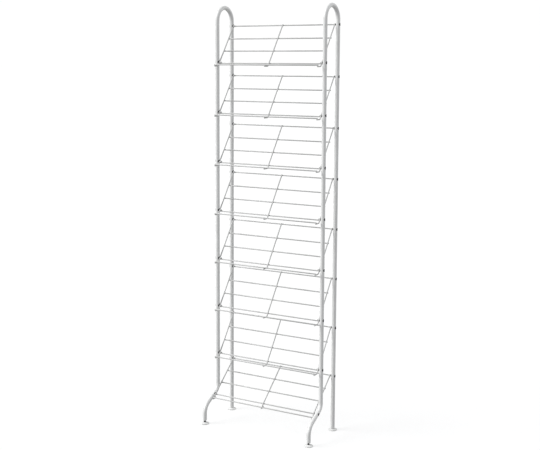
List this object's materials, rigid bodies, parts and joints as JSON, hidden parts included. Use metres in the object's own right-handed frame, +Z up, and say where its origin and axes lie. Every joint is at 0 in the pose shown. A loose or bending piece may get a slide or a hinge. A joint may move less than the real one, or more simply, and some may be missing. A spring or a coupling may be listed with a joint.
{
  "type": "shoe rack",
  "caption": "Tall slim free-standing shoe rack: two bent tube side frames with arched tops and kicked-out front legs carry sloping wire shelves with a front ledge.",
  "frame": {"origin": "on the floor, at the centre of the footprint of the four feet, half way between the side frames", "axes": "+Z up, -Y towards the front where the shoes go in, +X to the right seen from the front"},
  "size_m": [0.521, 0.244, 1.707],
  "materials": {
    "frame_white": "white powder coat, satin",
    "wire_white": "white powder coat, satin",
    "screw_black": "blackened steel, semi-matt",
    "stem_black": "blackened threaded steel",
    "pad_black": "moulded, matt",
    "foot_white": "moulded, slight sheen",
    "insert_grey": "moulded, matt"
  },
  "bodies": {
    "rack": {"left_side_frame": "frame_white", "right_side_frame": "frame_white", "shelf_1": "wire_white", "shelf_1_screws": "screw_black", "shelf_1_pads": "pad_black", "shelf_2": "wire_white", "shelf_2_screws": "screw_black", "shelf_2_pads": "pad_black", "shelf_3": "wire_white", "shelf_3_screws": "screw_black", "shelf_3_pads": "pad_black", "shelf_4": "wire_white", "shelf_4_screws": "screw_black", "shelf_4_pads": "pad_black", "shelf_5": "wire_white", "shelf_5_screws": "screw_black", "shelf_5_pads": "pad_black", "shelf_6": "wire_white", "shelf_6_screws": "screw_black", "shelf_6_pads": "pad_black", "shelf_7": "wire_white", "shelf_7_screws": "screw_black", "shelf_7_pads": "pad_black", "shelf_8": "wire_white", "shelf_8_screws": "screw_black", "shelf_8_pads": "pad_black", "leg_insert_rear_left": "insert_grey", "leg_insert_rear_right": "insert_grey", "leg_insert_front_left": "insert_grey", "leg_insert_front_right": "insert_grey"},
    "rear_left_foot": {"foot_disc_rear_left": "foot_white", "foot_stem_rear_left": "stem_black"},
    "rear_right_foot": {"foot_disc_rear_right": "foot_white", "foot_stem_rear_right": "stem_black"},
    "front_left_foot": {"foot_disc_front_left": "foot_white", "foot_stem_front_left": "stem_black"},
    "front_right_foot": {"foot_disc_front_right": "foot_white", "foot_stem_front_right": "stem_black"}
  },
  "joints": [
    {"name": "rear_left_foot_screw_out", "type": "slide", "parent": "rack", "child": "rear_left_foot", "axis": [0, 0, -1], "range_m": [0, 0.015]},
    {"name": "rear_right_foot_screw_out", "type": "slide", "parent": "rack", "child": "rear_right_foot", "axis": [0, 0, -1], "range_m": [0, 0.015]},
    {"name": "front_left_foot_screw_out", "type": "slide", "parent": "rack", "child": "front_left_foot", "axis": [0, 0, -1], "range_m": [-0.0075, 0.0075]},
    {"name": "front_right_foot_screw_out", "type": "slide", "parent": "rack", "child": "front_right_foot", "axis": [0, 0, -1], "range_m": [-0.0075, 0.0075]}
  ]
}
